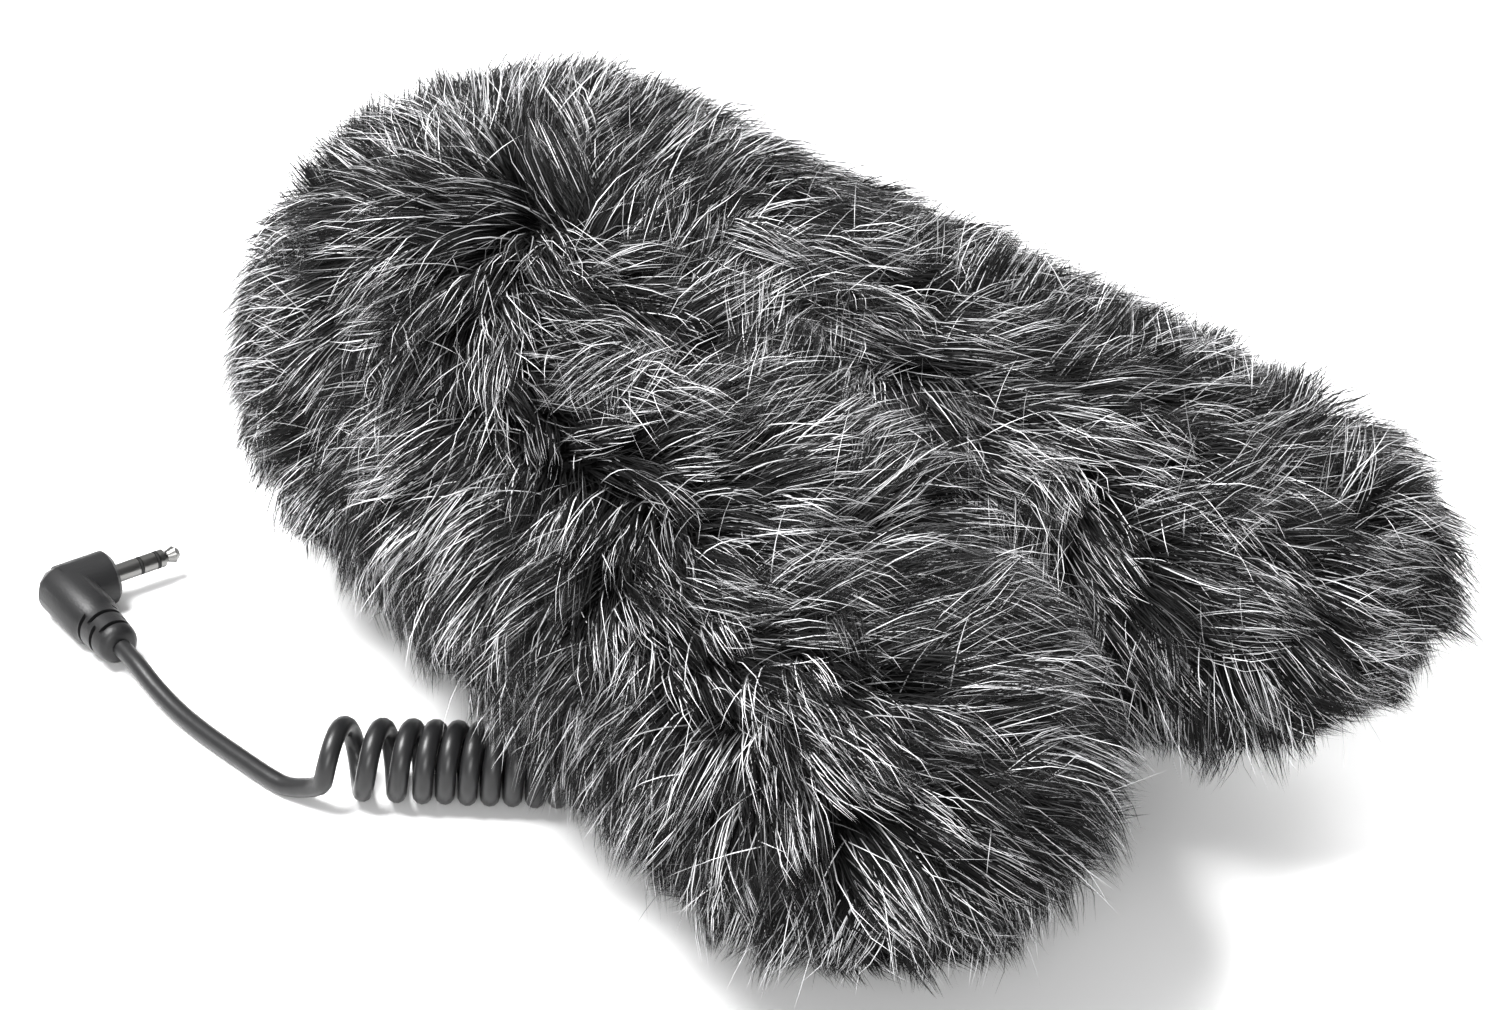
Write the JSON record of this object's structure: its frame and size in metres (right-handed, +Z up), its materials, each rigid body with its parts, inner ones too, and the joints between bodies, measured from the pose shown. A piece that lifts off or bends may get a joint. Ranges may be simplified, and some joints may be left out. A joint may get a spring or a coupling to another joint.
{
  "type": "furry windscreen",
  "caption": "Furry windscreen jacket with two lobes, over a V-shaped stereo camera microphone on a shock-mounted shoe foot, with a coiled cable and right-angle jack plug",
  "frame": {"origin": "Centre of the underside of the shoe foot, on the surface that the object stands on", "axes": "X across, with the object symmetric about X = 0 apart from the cable; the two lobes open towards -Y, which is the front; Z up"},
  "size_m": [0.1681, 0.2184, 0.0916],
  "materials": {
    "fur": "long grey pile with pale guard hairs",
    "lining": "open knitted mesh",
    "elastic": "braided elastic",
    "housing": "fine moulded texture",
    "mesh": "black moulded grille",
    "tube": "satin",
    "steel": "nickel plated",
    "rubber": "matt",
    "board": "solder resist",
    "battery": "shrink sleeve",
    "light": "clear red",
    "cord": "satin black",
    "plug": "soft moulded",
    "contact": "polished nickel"
  },
  "bodies": {
    "mount": {"shoe_foot": "steel", "mount_base": "housing", "isolator_front": "rubber", "isolator_rear": "rubber", "signal_lead": "cord", "cable_gland": "rubber", "cable_lead": "cord", "cable_coil": "cord", "cable_tail": "cord", "plug_shell": "plug", "plug_sleeve": "contact", "plug_rear_insulator": "rubber", "plug_ring": "contact", "plug_front_insulator": "rubber", "plug_tip": "contact"},
    "microphone": {"housing_upper": "housing", "housing_lower": "housing", "housing_screw_1": "steel", "housing_screw_2": "steel", "housing_screw_3": "steel", "housing_screw_4": "steel", "battery_front": "battery", "battery_rear": "battery", "contact_left": "steel", "contact_right": "steel", "door_hinge_pin": "steel", "circuit_board": "board", "power_switch_body": "steel", "level_switch_body": "steel", "status_light_pipe": "light", "left_arm_basket": "mesh", "left_interference_tube": "tube", "left_capsule": "tube", "left_capsule_cradle": "rubber", "left_tube_support": "rubber", "right_arm_basket": "mesh", "right_interference_tube": "tube", "right_capsule": "tube", "right_capsule_cradle": "rubber", "right_tube_support": "rubber"},
    "lock_wheel": {"lock_wheel": "housing"},
    "wheel_washer": {"wheel_washer": "steel"},
    "battery_door": {"battery_door": "housing"},
    "power_knob": {"power_switch_knob": "housing"},
    "level_knob": {"level_switch_knob": "housing"},
    "jacket": {"fur_top_panel": "fur", "fur_left_panel": "fur", "fur_right_panel": "fur", "jacket_lining": "lining", "elastic_hem": "elastic"}
  },
  "joints": [
    {"name": "shock_mount_rock", "type": "hinge", "parent": "mount", "child": "microphone", "pos_m": [0, 0, 0.0215], "axis": [1, 0, 0], "range_deg": [-2.5, 2.5], "stiffness_Nm_per_rad": 4, "deforming": ["isolator_front", "isolator_rear"]},
    {"name": "jacket_lift_off", "type": "slide", "parent": "microphone", "child": "jacket", "axis": [0, 0, 1], "range_m": [0, 0.08]},
    {"name": "battery_door_hinge", "type": "hinge", "parent": "microphone", "child": "battery_door", "pos_m": [0, 0.0605, 0.0289], "axis": [1, 0, 0], "range_deg": [0, 95]},
    {"name": "power_switch_slide", "type": "slide", "parent": "microphone", "child": "power_knob", "axis": [-1, 0, 0], "range_m": [0, 0.006]},
    {"name": "level_switch_slide", "type": "slide", "parent": "microphone", "child": "level_knob", "axis": [1, 0, 0], "range_m": [0, 0.006]},
    {"name": "lock_washer_press", "type": "slide", "parent": "mount", "child": "wheel_washer", "axis": [0, 0, -1], "range_m": [0, 0.0015]},
    {"name": "lock_wheel_turn", "type": "hinge", "parent": "wheel_washer", "child": "lock_wheel", "pos_m": [0, 0, 0.0077], "axis": [0, 0, -1], "range_deg": [0, 541]}
  ],
  "couplings": [
    {"joint": "lock_wheel_turn", "follows": "lock_washer_press", "rad_per_m": 6283.2}
  ]
}
